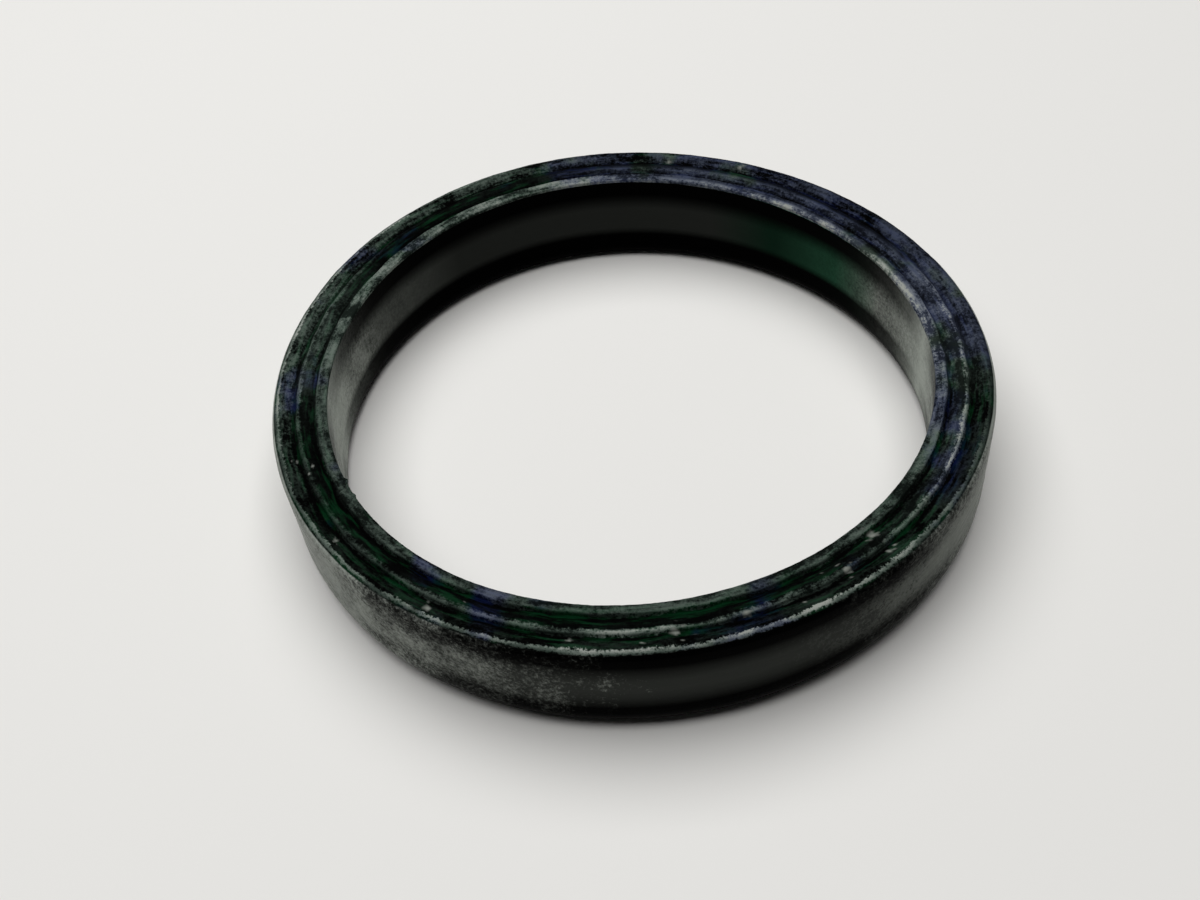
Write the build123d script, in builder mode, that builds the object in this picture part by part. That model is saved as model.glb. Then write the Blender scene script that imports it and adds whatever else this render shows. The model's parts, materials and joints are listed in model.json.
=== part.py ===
from build123d import *
import os

# A rubber cushion ring, moulded in one piece: a short tube with a thick wall.
# Its top face carries three concentric ribs with a groove between each two.
# It lies flat: the origin is the middle of the underside and +Z runs along the ring's axis.
# All sizes are in millimetres.

# The tube. The wall's thickness is the three ribs' widths together.
bore_diameter = 62.0
height = 12.0

# Both walls are straight and well rounded at their feet. The outer one is chamfered at its rim.
bore_foot_rounding = 2.1
outer_foot_rounding = 3.0
outer_rim_chamfer = 0.5

# The outer rib has a narrow land inside the rim, and falls from it to the outer groove.
outer_rib_width = 2.3
outer_land_width = 0.6
outer_groove_depth = 0.45

# The middle rib is a bead with a steep outer flank, crowned down to the inner groove.
bead_width = 2.05
bead_flank_width = 0.3
bead_drop = 0.15
bead_crown = 0.11
inner_groove_depth = 0.45

# The inner lip falls a little to the bore, and ends there at a crisp edge.
lip_width = 1.4
lip_flank_width = 0.2
lip_drop = 0.1
lip_fall = 0.15

# Radii that follow from these sizes
bore_radius = bore_diameter / 2
inner_groove_radius = bore_radius + lip_width
outer_groove_radius = inner_groove_radius + bead_width
outer_radius = outer_groove_radius + outer_rib_width

# Corners of the ring's section, as radius and level
bore_rim = (bore_radius, height - lip_drop - lip_fall)
bore_foot = (bore_radius, 0)
outer_foot = (outer_radius, 0)
outer_shoulder = (outer_radius, height - outer_rim_chamfer)
outer_rim = (outer_radius - outer_rim_chamfer, height)
outer_land = (outer_radius - outer_rim_chamfer - outer_land_width, height)
outer_groove = (outer_groove_radius, height - outer_groove_depth)
bead_crest = (outer_groove_radius - bead_flank_width, height - bead_drop)
inner_groove = (inner_groove_radius, height - inner_groove_depth)
lip_shoulder = (inner_groove_radius - lip_flank_width, height - lip_drop)

# The ring is its section turned once round the axis.
with BuildPart() as cushion_ring:
    with BuildSketch(Plane.XZ) as section:
        with BuildLine():
            Polyline(inner_groove, lip_shoulder, bore_rim, bore_foot, outer_foot)
            Polyline(outer_foot, outer_shoulder, outer_rim, outer_land, outer_groove, bead_crest)
            SagittaArc(inner_groove, bead_crest, bead_crown)
        make_face()

        # Rounded feet
        for corner, rounding in ((bore_foot, bore_foot_rounding), (outer_foot, outer_foot_rounding)):
            fillet(section.vertices().sort_by_distance(corner)[0], rounding)
    revolve(axis=Axis.Z)
cushion_ring.part.label = "cushion_ring"

os.makedirs("parts", exist_ok=True)
export_step(cushion_ring.part, "parts/cushion_ring.step")
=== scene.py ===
import json
import math
import bmesh
import bpy
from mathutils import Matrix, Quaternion, Vector, noise


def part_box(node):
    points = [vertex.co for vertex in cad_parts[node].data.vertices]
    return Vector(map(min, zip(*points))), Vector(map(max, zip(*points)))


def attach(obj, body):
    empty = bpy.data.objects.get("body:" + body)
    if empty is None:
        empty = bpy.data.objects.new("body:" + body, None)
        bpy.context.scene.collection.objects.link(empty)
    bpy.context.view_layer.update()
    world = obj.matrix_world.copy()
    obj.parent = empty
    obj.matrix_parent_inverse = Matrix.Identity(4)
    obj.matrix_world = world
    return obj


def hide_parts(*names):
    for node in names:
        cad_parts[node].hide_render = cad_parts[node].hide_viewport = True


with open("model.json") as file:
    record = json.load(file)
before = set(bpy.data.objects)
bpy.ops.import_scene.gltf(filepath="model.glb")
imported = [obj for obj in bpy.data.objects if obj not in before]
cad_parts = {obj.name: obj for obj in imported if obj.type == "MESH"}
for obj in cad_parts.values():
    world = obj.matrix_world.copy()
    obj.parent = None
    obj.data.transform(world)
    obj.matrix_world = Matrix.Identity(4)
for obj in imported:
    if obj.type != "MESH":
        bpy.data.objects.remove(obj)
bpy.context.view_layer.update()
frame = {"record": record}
scene = bpy.context.scene

# A moulded rubber cushion ring, lying flat on a pale floor.
# Sizes are written in millimetres. The ring is drawn in them too, and brought to metres at the end.
# Turns round the ring are in degrees: 0 is at the right, 90 at the back and -90 at the front.
mm = 0.001

# The ring's main sizes come from the CAD ring: its box, and the radius of its bore.
mounts = {mount["name"]: mount for mount in frame["record"]["mounts"]}
ring_low, ring_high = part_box("cushion_ring")
height = (ring_high[2] - ring_low[2]) / mm
outer_radius = (ring_high[0] - ring_low[0]) / 2 / mm
bore_radius = mounts["bore"]["dims"]["r_mm"]

# Both walls are straight, well rounded at their feet, and the outer one at its rim too.
bore_foot_rounding = 2.1
outer_foot_rounding = 3.0
outer_rim_rounding = 0.85
bore_rim_rounding = 0.15

# The three ribs of the top face, and the grooves between them
outer_rib_width = 2.3
outer_land_width = 0.25
outer_land_rounding = 1.0
outer_groove_depth = 0.5
bead_width = 2.05
bead_flank_width = 0.3
bead_drop = 0.15
bead_rounding = 0.25
bead_shoulder_width = 0.65
bead_shoulder_drop = 0.22
bead_shoulder_rounding = 1.5
inner_groove_depth = 0.5
lip_flank_width = 0.3
lip_drop = 0.1
lip_fall = 0.15
lip_rounding = 0.12
groove_rounding = 0.08
groove_floor_width = 0.3

# How finely the ring is drawn: points round it, spacings along its section, and limits on segments and cuts.
# Points nearer to each other than same_place are one point.
points_round = 940
top_spacing = 0.14
wall_spacing = 0.8
rounding_spacing = 0.1
fewest_segments = 2
most_segments = 6
most_cuts = 40
same_place = 0.001

# Unevenness of the moulding: the sizes of its lumps, how far they stand out, and how the ribs wander
top_grit_size = 0.5
top_grit_height = 0.05
slow_lump_size = 7.0
slow_lump_height = 0.12
rib_wander = 0.14
rib_waves_per_mm = 0.35
wander_fade_width = 1.0

# A soft ring never lies quite round: shares of its radius by which it is pressed oval and three-cornered
oval_share = 0.0169
three_corner_share = 0.0077
three_corner_turn = math.radians(-12.5)

# Two nibs of flash stand out from the lip's edge into the bore, each with its turn and its reach.
nibs = ((-156.0, 0.6), (-151.8, 0.35))
nib_width = 0.4

# A nick in the outer rim
nick_turn = -125.4
nick_width = 0.7
nick_depth = 0.3

# Nibs and nick fade out at this depth under the top, and the nibs as far from the bore's wall.
mark_depth = 1.0

# Ragged specks of pale grit on the top, each with its turn, the radius of its place and its size
specks = (
    (-164.5, 34.7, 0.12), (-162.1, 33.4, 0.12), (-160.5, 34.0, 0.15), (-144.9, 35.1, 0.15),
    (-124.1, 35.3, 0.25), (-102.0, 34.9, 0.15), (-91.5, 35.1, 0.15), (-86.6, 34.3, 0.3),
    (-75.7, 34.0, 0.25), (-67.4, 35.0, 0.12), (-59.0, 34.1, 0.3), (-51.5, 32.7, 0.4),
    (-52.0, 35.0, 0.2), (-50.5, 34.8, 0.15), (62.1, 35.4, 0.22), (76.5, 34.9, 0.18),
)

# Their outlines are notched about this finely, and they end at about this share of their size.
speck_notch_size = 0.4
speck_reach_share = 1.4

# Radii and levels that follow from these sizes
middle_radius = (bore_radius + outer_radius) / 2
rim_radius = outer_radius - outer_rim_rounding
land_radius = rim_radius - outer_land_width
outer_groove_radius = outer_radius - outer_rib_width
inner_groove_radius = outer_groove_radius - bead_width
crest_radius = outer_groove_radius - bead_flank_width
bead_shoulder_radius = inner_groove_radius + bead_shoulder_width
lip_shoulder_radius = inner_groove_radius - lip_flank_width
half_floor = groove_floor_width / 2
outer_groove_level = height - outer_groove_depth
inner_groove_level = height - inner_groove_depth
lip_level = height - lip_drop
top_level = lip_level - inner_groove_depth

# The ring's section, corner by corner from the outer wall over the top to the bore: radius, level, rounding
section = (
    (outer_radius, height, outer_rim_rounding),
    (land_radius, height, outer_land_rounding),
    (outer_groove_radius + half_floor, outer_groove_level, groove_rounding),
    (outer_groove_radius - half_floor, outer_groove_level, groove_rounding),
    (crest_radius, height - bead_drop, bead_rounding),
    (bead_shoulder_radius, height - bead_shoulder_drop, bead_shoulder_rounding),
    (inner_groove_radius + half_floor, inner_groove_level, groove_rounding),
    (inner_groove_radius - half_floor, inner_groove_level, groove_rounding),
    (lip_shoulder_radius, lip_level, lip_rounding),
    (bore_radius, lip_level - lip_fall, bore_rim_rounding),
    (bore_radius, 0, bore_foot_rounding),
    (outer_radius, 0, outer_foot_rounding),
)


# Small helpers
def hex_colour(code):
    """An sRGB hex colour as linear red, green, blue and alpha."""
    parts = [int(code[i:i + 2], 16) / 255 for i in (1, 3, 5)]
    linear = [c / 12.92 if c <= 0.04045 else ((c + 0.055) / 1.055) ** 2.4 for c in parts]
    return (*linear, 1.0)


def add_node(owner, kind, links=None, **settings):
    """Adds a node with its settings. Links gives each socket a value, or another node's output to read."""
    node = owner.node_tree.nodes.new(kind)
    for name, value in settings.items():
        setattr(node, name, value)
    for socket, source in (links or {}).items():
        if isinstance(source, bpy.types.NodeSocket):
            owner.node_tree.links.new(source, node.inputs[socket])
        else:
            node.inputs[socket].default_value = source
    return node


def start_nodes(owner):
    """Gives a material or a world an empty sheet of nodes."""
    owner.use_nodes = True
    owner.node_tree.nodes.clear()
    return owner


# The ring's shape
def select_vertices(piece, wanted):
    """Selects the vertices of a piece in edit mode whose places are wanted."""
    shape = bmesh.from_edit_mesh(piece.data)
    for vertex in shape.verts:
        vertex.select = wanted(vertex.co)
    shape.select_flush_mode()
    bmesh.update_edit_mesh(piece.data)


def select_edges(piece, wanted):
    """Selects the edges of a piece in edit mode that are wanted, and counts them."""
    bpy.ops.mesh.select_all(action="DESELECT")
    shape = bmesh.from_edit_mesh(piece.data)
    chosen = [edge for edge in shape.edges if wanted(edge)]
    for edge in chosen:
        edge.select = True
    bmesh.update_edit_mesh(piece.data)
    return len(chosen)


def cuts_wanted(edge):
    """How many cuts bring an edge of the section down to the spacing at its place."""
    middle = (edge.verts[0].co + edge.verts[1].co) / 2
    spacing = top_spacing if middle.z > top_level else wall_spacing
    return math.ceil(edge.calc_length() / spacing) - 1


def round_corner(piece, number):
    """Rounds one corner of the section, with as many points as the rounding needs."""
    radius, level, rounding = section[number]
    before = Vector(section[number - 1][:2])
    corner = Vector((radius, level))
    after = Vector(section[(number + 1) % len(section)][:2])
    turn = (corner - before).angle(after - corner)
    segments = max(fewest_segments, math.ceil(rounding * turn / rounding_spacing))
    place = Vector((radius, 0, level))
    select_vertices(piece, lambda co: (co - place).length < same_place)
    bpy.ops.mesh.bevel(
        affect="VERTICES",
        offset_type="ABSOLUTE",
        offset=rounding * math.tan(turn / 2),
        segments=min(segments, most_segments),
        profile=0.5,
    )


def draw_section(piece):
    """Extrudes one vertex from corner to corner, fills the section, rounds its corners and cuts its edges.

    The filling is there only for the rounding, and only the outline is left.
    """
    here = Vector((0, 0, 0))
    for number, (radius, level, _) in enumerate(section):
        place = Vector((radius, 0, level))
        if number == 0:
            bpy.ops.transform.translate(value=place - here)
        else:
            bpy.ops.mesh.extrude_region_move(TRANSFORM_OT_translate={"value": place - here})
        here = place
    bpy.ops.mesh.select_all(action="SELECT")
    bpy.ops.mesh.edge_face_add()
    for number in range(len(section)):
        round_corner(piece, number)
    bpy.ops.mesh.select_all(action="SELECT")
    bpy.ops.mesh.delete(type="ONLY_FACE")
    bpy.ops.mesh.select_mode(type="EDGE")
    for cuts in range(most_cuts, 0, -1):
        if select_edges(piece, lambda edge: cuts_wanted(edge) == cuts):
            bpy.ops.mesh.subdivide(number_cuts=cuts)


def apply_modifier(piece, kind, **settings):
    """Adds a modifier with its settings and applies it."""
    modifier = piece.modifiers.new(kind.lower(), kind)
    for name, value in settings.items():
        setattr(modifier, name, value)
    bpy.ops.object.modifier_apply(modifier=modifier.name)


def add_lumps(piece, name, size, lump_height, group=""):
    """Makes a piece uneven, with soft lumps of this size and height, all over or in one vertex group."""
    clouds = bpy.data.textures.new(name, "CLOUDS")
    clouds.noise_scale = size
    clouds.noise_depth = 2
    apply_modifier(
        piece, "DISPLACE", texture=clouds, texture_coords="LOCAL", vertex_group=group,
        strength=lump_height, mid_level=0.5,
    )


def nearness(turn, mark_turn, radius, width):
    """1 at a mark's turn round the ring, falling to 0 at this width from it."""
    apart = abs((turn - mark_turn + 180) % 360 - 180)
    return max(0, 1 - math.radians(apart) * radius / width)


def mark_place(turn, radius, level):
    """Radius and level of a place on the ring after its nibs and its nick have moved it."""
    rise = min(1, max(0, (level - height + mark_depth) / mark_depth))
    if radius < bore_radius + mark_depth:
        edge_share = min(1, 1 - (radius - bore_radius) / mark_depth)
        for nib_turn, reach in nibs:
            radius -= reach * edge_share * rise**2 * nearness(turn, nib_turn, bore_radius, nib_width)
    elif radius > rim_radius:
        nick = nick_depth * rise * nearness(turn, nick_turn, outer_radius, nick_width)
        radius -= nick
        level -= nick
    return radius, level


def speck_amount(place, turn, radius):
    """How much of a ragged speck of grit lies at a place on the top."""
    ragged = 1 + noise.noise(place / speck_notch_size)
    amount = 0
    for speck_turn, speck_radius, size in specks:
        along = math.radians(turn - speck_turn) * radius
        distance = math.hypot(along, radius - speck_radius)
        amount = max(amount, speck_reach_share - ragged * distance / size)
    return min(1, max(0, amount))


def wander_amount(radius):
    """1 on the ribs, falling to 0 at the two walls, which don't wander."""
    from_wall = min(radius - bore_radius, outer_radius - radius)
    return min(1, max(0, from_wall) / wander_fade_width)


def shape_ring(ring):
    """Lets the ribs wander a little, adds the small marks and presses the ring out of round."""
    section_radius = ring.data.attributes.new("section_radius", "FLOAT", "POINT")
    speck = ring.data.attributes.new("speck", "FLOAT", "POINT")
    for vertex in ring.data.vertices:
        radius = vertex.co.xy.length
        level = vertex.co.z
        angle = math.atan2(vertex.co.y, vertex.co.x)
        turn = math.degrees(angle)
        section_radius.data[vertex.index].value = radius
        if level > top_level:
            speck.data[vertex.index].value = speck_amount(vertex.co, turn, radius)
            radius += rib_wander * wander_amount(radius) * noise.noise(vertex.co * rib_waves_per_mm)
            radius, level = mark_place(turn, radius, level)
        oval = oval_share * math.sin(2 * angle)
        three_corners = three_corner_share * math.cos(3 * (angle - three_corner_turn))
        radius *= 1 - oval + three_corners
        vertex.co = (radius * math.cos(angle), radius * math.sin(angle), max(level, 0))


def make_ring():
    """The moulded ring: one section, turned once round the axis."""
    bpy.ops.object.select_all(action="DESELECT")
    bpy.ops.mesh.primitive_plane_add(size=1)
    ring = bpy.context.object
    ring.name = ring.data.name = "moulded_ring"
    bpy.ops.object.mode_set(mode="EDIT")
    bpy.ops.mesh.select_mode(type="VERT")
    bpy.ops.mesh.select_all(action="SELECT")
    bpy.ops.mesh.merge(type="CENTER")
    draw_section(ring)
    bpy.ops.object.mode_set(mode="OBJECT")
    apply_modifier(
        ring, "SCREW", axis="Z", angle=2 * math.pi, steps=points_round, render_steps=points_round,
        use_merge_vertices=True, merge_threshold=same_place,
    )
    bpy.ops.object.mode_set(mode="EDIT")
    bpy.ops.mesh.select_all(action="SELECT")
    bpy.ops.mesh.remove_doubles(threshold=same_place)
    bpy.ops.mesh.normals_make_consistent(inside=False)
    bpy.ops.object.mode_set(mode="OBJECT")
    bpy.ops.object.shade_smooth()

    # The top is gritty, the walls are only slightly uneven.
    top = ring.vertex_groups.new(name="ribbed top")
    top.add([v.index for v in ring.data.vertices if v.co.z > top_level], 1.0, "REPLACE")
    add_lumps(ring, "top grit", top_grit_size, top_grit_height, "ribbed top")
    add_lumps(ring, "slow unevenness", slow_lump_size, slow_lump_height)
    shape_ring(ring)
    bpy.ops.transform.resize(value=(mm, mm, mm))
    bpy.ops.object.transform_apply(location=False, rotation=False, scale=True)
    return ring


# The rubber's colours: the blacks of the bare rubber, and the pale greys of film, bloom and grit, which also
# carry painted highlights on the ribs and painted sheen on the walls
plain_black = "#010101"
green_black = "#042210"
blue_black = "#080F2A"
# The film's greys also carry the painted highlights and painted light on the ribs.
green_film_and_light = "#6C8276"
blue_film_and_light = "#687492"
full_film_and_light = "#90938D"
# The bloom's greys also carry the painted sheen on the walls, a reflection of the floor.
bloom_and_sheen_grey = "#B0B6AE"
bloom_and_sheen_green = "#5CAA82"
speck_grey = "#777A74"

# Sizes of the marks on the rubber: streaks along the ribs, grit, and patches of film and of colour
streak_width = 0.7
streak_length = 4.0
film_grit_size = 0.4
film_patch_size = 3.3
colour_patch_size = 6.25

# Real grain is a few hundredths of a millimetre wide. It is drawn coarser here, so that it shows.
# The walls have only a share of the top's grain.
grain_size = 0.2
grain_depth = 0.035
wall_grain_share = 0.2

# Most of a noise lies between these two amounts.
noise_low = 0.3
noise_high = 0.7

# The top's finish ends this far under the top and this far inside the outer wall, blurred by this much.
top_depth = 0.6
rim_side_width = 0.3
finish_blur = 0.05

# The edges of the film and painted light wander by up to these widths, with the streaks and with the grit.
# Streaks and patches count for a share in its breaks, beside the grit.
streak_wander = 0.15
grit_wander = 0.25
slow_break_share = 0.75

# Distances from a groove's middle, a crest or an edge at which the zones of film and painted light start,
# are full or end
groove_gap = 0.1
edge_full_width = 0.45
edge_width = 0.8
bead_foot_width = 0.45
bead_top_width = 0.7
bead_bare_width = 0.25
crest_line_width = 0.5
crest_full_width = 0.15
rib_bare_width = 0.2
rib_foot_width = 0.6
rib_fade_width = 0.4
rim_line_start = 0.1
rim_line_end = 0.3
rim_line_fade = 0.5

# Pale film and painted light on the top face, zone by zone: its spread across by radius, its amount by turn,
# and its evenness. The amount by turn paints each slope lighter where it faces the light and darker where it
# faces away.
# The lip: pale film, with painted light that makes it lighter at the right and the back, where its inward
# slope faces the light, and darker at the front.
lip_film_and_light = (
    ((bore_radius, 0.9), (lip_shoulder_radius, 1.0), (inner_groove_radius - groove_gap, 0.0)),
    (
        (-180, 0.16), (-120, 0.16), (-90, 0.14), (-30, 0.18), (0, 0.38),
        (15, 0.12), (75, 0.12), (95, 0.35), (150, 0.3), (180, 0.16),
    ),
    0.15,
)
# A painted highlight along the bore's edge at the back right.
edge_highlight = (
    ((bore_radius, 1.0), (bore_radius + edge_full_width, 0.9), (bore_radius + edge_width, 0.0)),
    ((-10, 0.0), (15, 0.55), (45, 0.5), (75, 0.2), (100, 0.05), (180, 0.0)),
    0.3,
)
# The bead's inner slope: thin film, with painted light where it faces the light, mostly at the right and the
# back.
bead_film_and_light = (
    (
        (inner_groove_radius + groove_gap, 0.0), (inner_groove_radius + bead_foot_width, 0.5),
        (crest_radius - bead_top_width, 1.0), (crest_radius - bead_bare_width, 0.0),
    ),
    (
        (-180, 0.02), (-165, 0.01), (-60, 0.01), (-25, 0.14), (60, 0.18),
        (85, 0.12), (105, 0.02), (150, 0.01), (168, 0.18), (180, 0.02),
    ),
    0.25,
)
# A painted highlight along the bead's crest, strongest at the front and the right.
crest_highlight = (
    (
        (crest_radius - crest_line_width, 0.0), (crest_radius - crest_full_width, 1.0),
        (crest_radius, 0.9), (outer_groove_radius - groove_gap, 0.0),
    ),
    (
        (-180, 0.22), (-160, 0.08), (-120, 0.16), (-90, 0.45), (-60, 0.12), (-30, 0.5),
        (0, 0.5), (20, 0.02), (135, 0.02), (165, 0.25), (180, 0.22),
    ),
    0.2,
)
# The outer rib: pale film, with painted light that makes it lighter at the left and the back and darker at
# the front, where it slopes away from the light.
rib_film_and_light = (
    (
        (outer_groove_radius + rib_bare_width, 0.0), (outer_groove_radius + rib_foot_width, 0.8),
        (land_radius, 1.0), (rim_radius, 0.8), (rim_radius + rib_fade_width, 0.2),
    ),
    ((-180, 0.14), (-150, 0.02), (-60, 0.03), (-20, 0.04), (5, 0.07), (100, 0.15), (180, 0.14)),
    0.0,
)
# The rim: a worn pale line, with a painted highlight on its rounding, brightest at the front and the back
# left.
rim_wear_and_highlight = (
    (
        (rim_radius, 0.0), (rim_radius + rim_line_start, 1.0),
        (rim_radius + rim_line_end, 1.0), (rim_radius + rim_line_fade, 0.0),
    ),
    (
        (-180, 0.4), (-165, 0.22), (-75, 0.65), (-60, 0.6), (-35, 0.2),
        (-10, 0.03), (100, 0.04), (125, 0.3), (150, 0.5), (180, 0.4),
    ),
    0.45,
)
# Paler over the whole top at the right, and a little at the left.
whole_top_paling = (
    ((bore_radius, 1.0), (rim_radius, 1.0)),
    (
        (-180, 0.015), (-165, 0.0), (-18, 0.0), (-4, 0.08), (10, 0.08),
        (28, 0.0), (140, 0.0), (155, 0.03), (180, 0.015),
    ),
    0.3,
)
top_films_and_light = (lip_film_and_light, edge_highlight, bead_film_and_light, crest_highlight, rib_film_and_light, rim_wear_and_highlight, whole_top_paling)

# Bloom and painted sheen on the two walls by turn, the same at the front and the back. The sheen is a
# painted reflection of the floor, strongest at the ring's two sides, where the walls are seen edge-on. Its
# edge on the outer wall wanders.
outer_bloom_and_sheen = ((0, 1.0), (29, 0.95), (64, 0.0), (102, 0.0), (143, 0.95), (180, 1.0))
inner_bloom_and_sheen = (
    (0, 1.0), (8, 0.65), (15, 0.4), (30, 0.14), (50, 0.0),
    (125, 0.0), (150, 0.16), (165, 0.5), (180, 0.95),
)
bloom_and_sheen_wander_turn = 20.0

# Where there is little bloom and sheen it is a band at about half height, by level: a painted reflection of
# the floor in the satin wall. None lies low on the feet.
outer_band = ((3.9, 0.0), (5.6, 0.75), (6.6, 1.0), (8.0, 0.95), (9.3, 0.4), (10.2, 0.0))
inner_band = ((3.7, 0.0), (4.7, 0.95), (7.6, 1.0), (8.8, 0.3), (9.6, 0.0))
bare_foot_level = 1.2
full_bloom_and_sheen_level = 2.4

# Amounts of bloom and painted sheen on the two walls where it is thin and full, and the share of patches in
# its clouds
inner_thin_bloom_and_sheen = 0.05
outer_thin_bloom_and_sheen = 0.09
inner_full_bloom_and_sheen = 1.0
outer_full_bloom_and_sheen = 0.62
cloud_patch_share = 0.35

# Blue in the colour of the top, by turn
blue_drift = (
    (-180, 0.04), (-150, 0.0), (-138, 0.02), (-128, 0.15), (-116, 0.15), (-104, 0.04),
    (-50, 0.04), (-20, 0.24), (70, 0.28), (92, 0.24), (104, 0.06), (180, 0.04),
)

# A green cast on the bore's wall at the right, by turn, and how deep in the section it is full
green_cast = ((20, 0.0), (34, 1.0), (52, 1.0), (66, 0.0))
bore_skin = 1.0


def add_ramp(material, value, stops):
    """An amount that follows a value in straight runs. Each stop has a value and its amount."""
    low = stops[0][0]
    high = stops[-1][0]
    share = add_node(material, "ShaderNodeMapRange", {"Value": value, "From Min": low, "From Max": high})
    ramp = add_node(material, "ShaderNodeValToRGB", {"Fac": share.outputs["Result"]})
    elements = ramp.color_ramp.elements
    while len(elements) < len(stops):
        elements.new(1.0)
    for element, (stop, amount) in zip(elements, stops):
        element.position = (stop - low) / (high - low)
        element.color = (amount, amount, amount, 1)
    return ramp.outputs["Color"]


def ring_places(rubber):
    """Places on the ring in millimetres and degrees: point, level, radius in the section, and turn."""
    point = add_node(rubber, "ShaderNodeTexCoord").outputs["Object"]
    point = add_node(
        rubber, "ShaderNodeVectorMath", {0: point, "Scale": 1 / mm}, operation="SCALE"
    ).outputs["Vector"]
    apart = add_node(rubber, "ShaderNodeSeparateXYZ", {"Vector": point}).outputs
    radius = add_node(rubber, "ShaderNodeAttribute", attribute_name="section_radius").outputs["Fac"]
    turn = add_node(
        rubber, "ShaderNodeMath", {0: apart["Y"], 1: apart["X"]}, operation="ARCTAN2"
    ).outputs["Value"]
    turn = add_node(rubber, "ShaderNodeMath", {0: turn}, operation="DEGREES").outputs["Value"]
    return point, apart["Z"], radius, turn


def streak_noise(rubber, point, level, radius):
    """Noise drawn out along the ring, in streaks."""
    stretch = middle_radius * streak_width / streak_length
    flat = add_node(
        rubber, "ShaderNodeVectorMath", {0: point, 1: (1, 1, 0)}, operation="MULTIPLY"
    ).outputs["Vector"]
    around = add_node(rubber, "ShaderNodeVectorMath", {0: flat}, operation="NORMALIZE").outputs["Vector"]
    across = add_node(rubber, "ShaderNodeMath", {0: radius, 1: level}, operation="ADD").outputs["Value"]
    across = add_node(rubber, "ShaderNodeCombineXYZ", {"Z": across}).outputs["Vector"]
    drawn_out = add_node(
        rubber, "ShaderNodeVectorMath",
        {0: around, 1: (stretch, stretch, stretch), 2: across}, operation="MULTIPLY_ADD",
    ).outputs["Vector"]
    return add_node(
        rubber, "ShaderNodeTexNoise",
        {"Vector": drawn_out, "Scale": 1 / streak_width, "Detail": 5, "Roughness": 0.6},
    ).outputs["Fac"]


def top_share(rubber, level, radius):
    """1 on the top face, down to just under the grooves' floors and out into the rim, and 0 on the walls."""
    deepest = height - top_depth
    widest = outer_radius - rim_side_width
    above = add_ramp(rubber, level, ((deepest - finish_blur, 0.0), (deepest + finish_blur, 1.0)))
    inside = add_ramp(rubber, radius, ((widest - finish_blur, 1.0), (widest + finish_blur, 0.0)))
    return add_node(rubber, "ShaderNodeMath", {0: above, 1: inside}, operation="MULTIPLY").outputs["Value"]


def blue_share(rubber, point, turn):
    """Patches of the top's colour, from 0, greenish, to 1, bluish, with more blue at the right."""
    patches = add_node(
        rubber, "ShaderNodeTexNoise", {"Vector": point, "Scale": 1 / colour_patch_size, "Detail": 4}
    ).outputs["Fac"]
    drift = add_ramp(rubber, turn, blue_drift)
    blue = add_node(rubber, "ShaderNodeMath", {0: patches, 1: drift}, operation="ADD").outputs["Value"]
    return add_node(
        rubber, "ShaderNodeMapRange", {"Value": blue, "From Min": 0.62, "From Max": 0.72}
    ).outputs["Result"]


def top_film_and_light(rubber, radius, turn, streaks, grit, patches):
    """Pale film and painted light on the ribs, its edges wandering, broken up by streaks, grit and patches.
    """
    for pattern, reach in ((streaks, streak_wander), (grit, grit_wander)):
        wander = add_node(
            rubber, "ShaderNodeMapRange",
            {
                "Value": pattern, "From Min": noise_low, "From Max": noise_high,
                "To Min": -reach, "To Max": reach,
            },
        ).outputs["Result"]
        radius = add_node(
            rubber, "ShaderNodeMath", {0: radius, 1: wander}, operation="ADD"
        ).outputs["Value"]
    breaks = add_node(rubber, "ShaderNodeMath", {0: streaks, 1: patches}, operation="ADD").outputs["Value"]
    breaks = add_node(
        rubber, "ShaderNodeMath", {0: breaks, 1: slow_break_share, 2: grit}, operation="MULTIPLY_ADD"
    ).outputs["Value"]
    breaks = add_node(
        rubber, "ShaderNodeMapRange", {"Value": breaks, "From Min": 1.13, "From Max": 1.43, "To Max": 2.5}
    ).outputs["Result"]
    film_and_light = 0.0
    for across, around, evenness in top_films_and_light:
        amount = add_node(
            rubber, "ShaderNodeMath",
            {0: add_ramp(rubber, radius, across), 1: add_ramp(rubber, turn, around)}, operation="MULTIPLY",
        ).outputs["Value"]
        broken = add_node(rubber, "ShaderNodeMix", {"Factor": evenness, 2: breaks, 3: 1.0}).outputs[0]
        film_and_light = add_node(
            rubber, "ShaderNodeMath", {0: amount, 1: broken, 2: film_and_light}, operation="MULTIPLY_ADD"
        ).outputs["Value"]
    return film_and_light


def bloom_and_sheen_share(rubber, turn, outside, clouds):
    """How far the bloom and painted sheen reach at a turn: 1 at the ring's two sides, where the walls are
    seen edge-on, and 0 at its front and back.
    """
    half_turn = add_node(rubber, "ShaderNodeMath", {0: turn}, operation="ABSOLUTE").outputs["Value"]
    wander = add_node(
        rubber, "ShaderNodeMapRange",
        {
            "Value": clouds, "From Min": 0.35, "From Max": 0.65,
            "To Min": -bloom_and_sheen_wander_turn, "To Max": bloom_and_sheen_wander_turn,
        },
    ).outputs["Result"]
    wandered = add_node(
        rubber, "ShaderNodeMath", {0: half_turn, 1: wander}, operation="ADD"
    ).outputs["Value"]
    return add_node(
        rubber, "ShaderNodeMix",
        {
            "Factor": outside,
            2: add_ramp(rubber, half_turn, inner_bloom_and_sheen),
            3: add_ramp(rubber, wandered, outer_bloom_and_sheen),
        },
    ).outputs[0]


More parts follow.
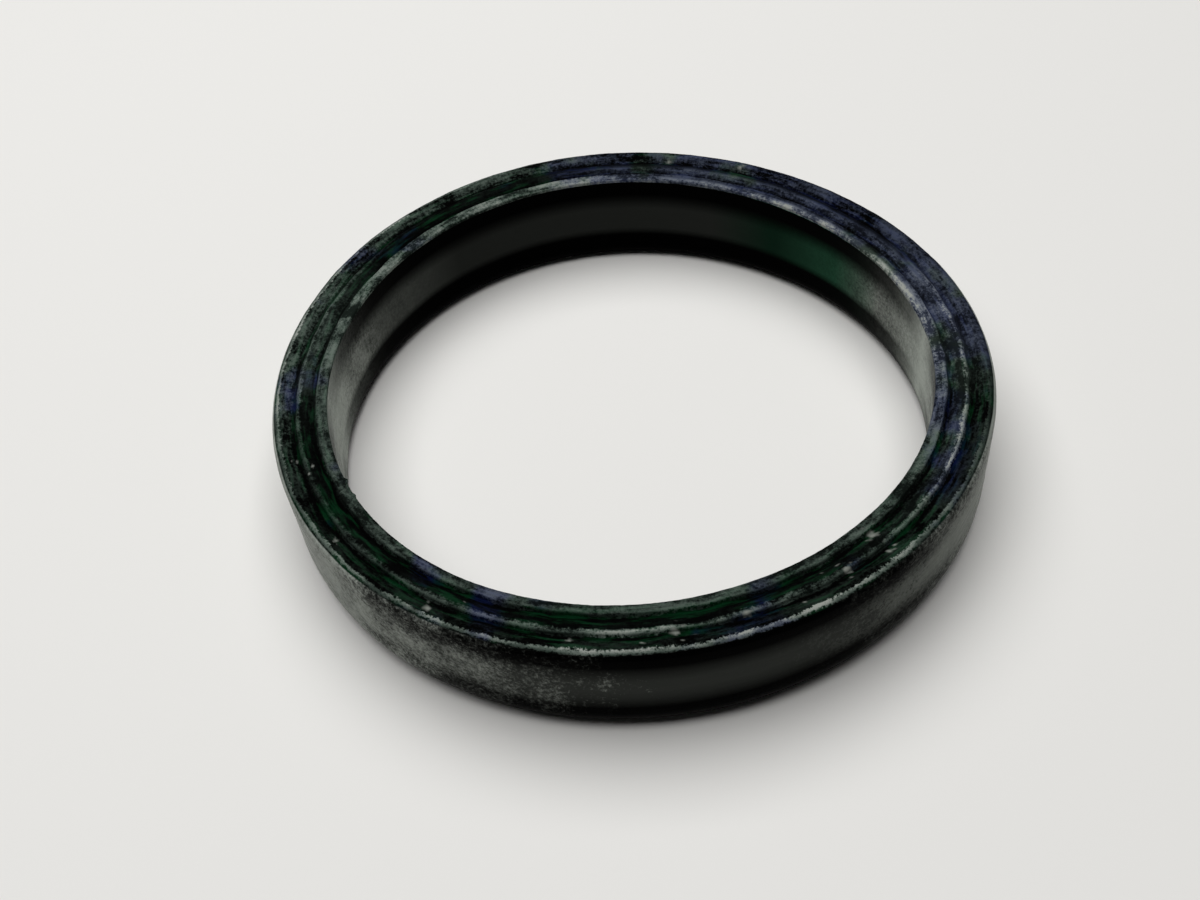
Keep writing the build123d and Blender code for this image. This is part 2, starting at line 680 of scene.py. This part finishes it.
def bloom_and_sheen_spread(rubber, level, outside, side):
    """How the bloom and painted sheen lie up and down: a band at first, the floor's painted reflection at
    half height, and all of the wall but its foot as it grows.
    """
    band = add_node(
        rubber, "ShaderNodeMix",
        {"Factor": outside, 2: add_ramp(rubber, level, inner_band), 3: add_ramp(rubber, level, outer_band)},
    ).outputs[0]
    grown = add_node(rubber, "ShaderNodeMath", {0: side, 1: side}, operation="MULTIPLY").outputs["Value"]
    spread = add_node(rubber, "ShaderNodeMix", {"Factor": grown, 2: band, 3: 1.0}).outputs[0]
    off_foot = add_ramp(rubber, level, ((bare_foot_level, 0.0), (full_bloom_and_sheen_level, 1.0)))
    return add_node(
        rubber, "ShaderNodeMath", {0: spread, 1: off_foot}, operation="MULTIPLY"
    ).outputs["Value"]


def wall_bloom_and_sheen(rubber, level, radius, turn, grit, patches):
    """Bloom and painted sheen on the walls: cloudy at the ring's two sides, elsewhere only a thin band of
    painted reflection at half height.
    """
    clouds = add_node(
        rubber, "ShaderNodeMix", {"Factor": cloud_patch_share, 2: grit, 3: patches}
    ).outputs[0]
    outside = add_node(
        rubber, "ShaderNodeMath", {0: radius, 1: middle_radius}, operation="GREATER_THAN"
    ).outputs["Value"]
    side = bloom_and_sheen_share(rubber, turn, outside, clouds)
    thin = add_node(
        rubber, "ShaderNodeMapRange",
        {"Value": outside, "To Min": inner_thin_bloom_and_sheen, "To Max": outer_thin_bloom_and_sheen},
    ).outputs["Result"]
    full = add_node(
        rubber, "ShaderNodeMapRange",
        {"Value": outside, "To Min": inner_full_bloom_and_sheen, "To Max": outer_full_bloom_and_sheen},
    ).outputs["Result"]
    amount = add_node(
        rubber, "ShaderNodeMapRange", {"Value": side, "To Min": thin, "To Max": full}
    ).outputs["Result"]
    spread = bloom_and_sheen_spread(rubber, level, outside, side)
    amount = add_node(
        rubber, "ShaderNodeMath", {0: amount, 1: spread}, operation="MULTIPLY"
    ).outputs["Value"]

    # It is cloudiest where it starts.
    clouds = add_node(
        rubber, "ShaderNodeMapRange",
        {"Value": clouds, "From Min": 0.38, "From Max": 0.62, "To Min": 0.25, "To Max": 1.75},
    ).outputs["Result"]
    cloudy = add_ramp(rubber, side, ((0.0, 0.0), (0.3, 1.0), (0.8, 0.35)))
    clouds = add_node(rubber, "ShaderNodeMix", {"Factor": cloudy, 2: 1.0, 3: clouds}).outputs[0]
    return add_node(rubber, "ShaderNodeMath", {0: amount, 1: clouds}, operation="MULTIPLY").outputs["Value"]


def bare_colour(rubber, top, blue, streaks):
    """The bare rubber: plain black, and on the top green-black and blue-black in streaks."""
    tinted = add_node(
        rubber, "ShaderNodeMix",
        {"Factor": blue, 6: hex_colour(green_black), 7: hex_colour(blue_black)}, data_type="RGBA",
    ).outputs[2]
    amount = add_node(
        rubber, "ShaderNodeMapRange", {"Value": streaks, "From Min": 0.5, "From Max": 0.65}
    ).outputs["Result"]
    amount = add_node(rubber, "ShaderNodeMath", {0: amount, 1: top}, operation="MULTIPLY").outputs["Value"]
    return add_node(
        rubber, "ShaderNodeMix", {"Factor": amount, 6: hex_colour(plain_black), 7: tinted}, data_type="RGBA"
    ).outputs[2]


def film_and_light_colour(rubber, top, blue, film_and_light, radius, turn):
    """The colour of the film and painted highlights on the top, greener or bluer where it is thin, and of
    the bloom and painted sheen on the walls.
    """
    on_top = add_node(
        rubber, "ShaderNodeMix",
        {"Factor": blue, 6: hex_colour(green_film_and_light), 7: hex_colour(blue_film_and_light)}, data_type="RGBA",
    ).outputs[2]
    on_top = add_node(
        rubber, "ShaderNodeMix", {"Factor": film_and_light, 6: on_top, 7: hex_colour(full_film_and_light)}, data_type="RGBA"
    ).outputs[2]
    in_bore = add_ramp(rubber, radius, ((bore_radius + bore_skin, 1.0), (bore_radius + 2 * bore_skin, 0.0)))
    green = add_node(
        rubber, "ShaderNodeMath", {0: add_ramp(rubber, turn, green_cast), 1: in_bore}, operation="MULTIPLY"
    ).outputs["Value"]
    on_walls = add_node(
        rubber, "ShaderNodeMix",
        {"Factor": green, 6: hex_colour(bloom_and_sheen_grey), 7: hex_colour(bloom_and_sheen_green)}, data_type="RGBA",
    ).outputs[2]
    return add_node(
        rubber, "ShaderNodeMix", {"Factor": top, 6: on_walls, 7: on_top}, data_type="RGBA"
    ).outputs[2]


def rubber_finish(rubber, point, top, streaks):
    """Roughness and grain: the walls are satin and nearly smooth, the top is dull and grainy."""
    rough = add_node(
        rubber, "ShaderNodeMapRange",
        {"Value": streaks, "From Min": noise_low, "From Max": noise_high, "To Min": 0.2, "To Max": 0.35},
    ).outputs["Result"]
    rough = add_node(rubber, "ShaderNodeMix", {"Factor": top, 2: rough, 3: 0.6}).outputs[0]
    grain = add_node(
        rubber, "ShaderNodeTexNoise", {"Vector": point, "Scale": 1 / grain_size, "Detail": 3}
    ).outputs["Fac"]
    depth = add_node(
        rubber, "ShaderNodeMapRange", {"Value": top, "To Min": wall_grain_share, "To Max": 1.0}
    ).outputs["Result"]
    bump = add_node(
        rubber, "ShaderNodeBump", {"Strength": depth, "Distance": grain_depth * mm, "Height": grain}
    ).outputs["Normal"]
    return rough, bump


def make_rubber():
    """Black rubber, filled with carbon black and moulded under heat and pressure.

    It is a deep black that hardly shines, satin on the walls, and dull and grainy on the ribbed top.
    With age a pale bloom comes out on the walls, painted together with a sheen that stands for the floor's
    reflection, and pale film and grit stay on the ribs, painted together with highlights and shade by turn.
    """
    rubber = start_nodes(bpy.data.materials.new("moulded black rubber"))
    point, level, radius, turn = ring_places(rubber)
    streaks = streak_noise(rubber, point, level, radius)
    grit = add_node(
        rubber, "ShaderNodeTexNoise",
        {"Vector": point, "Scale": 1 / film_grit_size, "Detail": 5, "Roughness": 0.8},
    ).outputs["Fac"]
    patches = add_node(
        rubber, "ShaderNodeTexNoise", {"Vector": point, "Scale": 1 / film_patch_size, "Detail": 6}
    ).outputs["Fac"]
    top = top_share(rubber, level, radius)
    blue = blue_share(rubber, point, turn)

    # Film with painted highlights on the ribs and bloom with painted sheen on the walls cover the bare
    # rubber, and specks of grit lie on top.
    film_and_light = add_node(
        rubber, "ShaderNodeMix",
        {
            "Factor": top,
            2: wall_bloom_and_sheen(rubber, level, radius, turn, grit, patches),
            3: top_film_and_light(rubber, radius, turn, streaks, grit, patches),
        },
    ).outputs[0]
    bare = bare_colour(rubber, top, blue, streaks)
    pale = film_and_light_colour(rubber, top, blue, film_and_light, radius, turn)
    colour = add_node(
        rubber, "ShaderNodeMix", {"Factor": film_and_light, 6: bare, 7: pale}, data_type="RGBA"
    ).outputs[2]
    speck = add_node(rubber, "ShaderNodeAttribute", attribute_name="speck").outputs["Fac"]
    colour = add_node(
        rubber, "ShaderNodeMix", {"Factor": speck, 6: colour, 7: hex_colour(speck_grey)}, data_type="RGBA"
    ).outputs[2]
    rough, bump = rubber_finish(rubber, point, top, streaks)
    shader = add_node(
        rubber, "ShaderNodeBsdfPrincipled",
        {"Base Color": colour, "Roughness": rough, "IOR": 1.5, "Specular IOR Level": 0.004, "Normal": bump},
    )
    add_node(rubber, "ShaderNodeOutputMaterial", {"Surface": shader.outputs["BSDF"]})
    return rubber


# The studio: a pale floor in a dim room, under one large softbox overhead, a little to the camera's left
floor_white = "#E3E2DF"
surround_white = "#E6E5E2"
room_grey = "#282828"
floor_side = 3000 * mm
lit_floor_radius = 200 * mm
far_floor_radius = 420 * mm
softbox_place = Vector((-80, 125, 600)) * mm
softbox_aim = Vector((-80, 125, 0)) * mm
softbox_width = 700 * mm
softbox_depth = 750 * mm
softbox_power = 5.6

# The camera: its place, the point on the floor that it looks at, its roll and its lens
camera_place = Vector((0, -101.44, 108.12)) * mm
camera_aim = Vector((-3.46, -1.20, 0)) * mm
camera_roll = math.radians(-7.52)
lens_length = 40.61
sensor_width = 36.0
nearest_seen = 10 * mm


def seen_directly(owner):
    """1 for what the camera sees, straight or through gloss or glass, and 0 for the light on surfaces."""
    path = add_node(owner, "ShaderNodeLightPath").outputs
    seen = add_node(
        owner, "ShaderNodeMath", {0: path["Is Camera Ray"], 1: path["Is Glossy Ray"]}, operation="MAXIMUM"
    ).outputs["Value"]
    return add_node(
        owner, "ShaderNodeMath", {0: seen, 1: path["Is Transmission Ray"]}, operation="MAXIMUM"
    ).outputs["Value"]


def make_floor_paint():
    """Matte paint, rolled on: pale, even and chalky, with hardly any shine.

    Far from the ring, past the lamp's reach, it is seen as pale as the surround.
    """
    paint = start_nodes(bpy.data.materials.new("pale matte paint"))
    shader = add_node(
        paint, "ShaderNodeBsdfPrincipled",
        {"Base Color": hex_colour(floor_white), "Roughness": 0.9, "Specular IOR Level": 0.1},
    )
    point = add_node(paint, "ShaderNodeTexCoord").outputs["Object"]
    distance = add_node(paint, "ShaderNodeVectorMath", {0: point}, operation="LENGTH").outputs["Value"]
    far = add_node(
        paint, "ShaderNodeMapRange",
        {"Value": distance, "From Min": lit_floor_radius, "From Max": far_floor_radius},
    ).outputs["Result"]
    far = add_node(
        paint, "ShaderNodeMath", {0: far, 1: seen_directly(paint)}, operation="MULTIPLY"
    ).outputs["Value"]
    glow = add_node(paint, "ShaderNodeEmission", {"Color": hex_colour(surround_white)})
    surface = add_node(
        paint, "ShaderNodeMixShader", {"Fac": far, 1: shader.outputs["BSDF"], 2: glow.outputs["Emission"]}
    )
    add_node(paint, "ShaderNodeOutputMaterial", {"Surface": surface.outputs["Shader"]})
    return paint


def make_floor():
    """A plain pale floor."""
    bpy.ops.object.select_all(action="DESELECT")
    bpy.ops.mesh.primitive_plane_add(size=floor_side)
    floor = bpy.context.object
    floor.name = "floor"
    floor.data.materials.append(make_floor_paint())


def make_softbox():
    """A soft rectangular lamp, facing down."""
    bpy.ops.object.light_add(type="AREA", location=softbox_place)
    lamp = bpy.context.object
    lamp.name = "overhead softbox"
    lamp.data.shape = "RECTANGLE"
    lamp.data.size = softbox_width
    lamp.data.size_y = softbox_depth
    lamp.data.energy = softbox_power
    lamp.rotation_euler = (softbox_aim - softbox_place).to_track_quat("-Z", "Y").to_euler()


def make_room():
    """A dim room, which is seen as a pale surround."""
    world = start_nodes(bpy.data.worlds.new("dim room"))
    colour = add_node(
        world, "ShaderNodeMix",
        {"Factor": seen_directly(world), 6: hex_colour(room_grey), 7: hex_colour(surround_white)},
        data_type="RGBA",
    ).outputs[2]
    room = add_node(world, "ShaderNodeBackground", {"Color": colour, "Strength": 1.0})
    add_node(world, "ShaderNodeOutputWorld", {"Surface": room.outputs["Background"]})
    scene.world = world


def make_camera():
    """A camera that looks down on the ring from the front."""
    bpy.ops.object.camera_add(location=camera_place)
    camera = bpy.context.object
    camera.data.lens = lens_length
    camera.data.sensor_width = sensor_width
    camera.data.clip_start = nearest_seen
    camera.rotation_mode = "QUATERNION"
    level_view = (camera_aim - camera_place).to_track_quat("-Z", "Y")
    camera.rotation_quaternion = level_view @ Quaternion((0, 0, 1), camera_roll)
    scene.camera = camera


ring = make_ring()
ring.data.materials.append(make_rubber())
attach(ring, "root")
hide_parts("cushion_ring")

make_floor()
make_softbox()
make_room()
make_camera()
scene.view_settings.view_transform = "Standard"
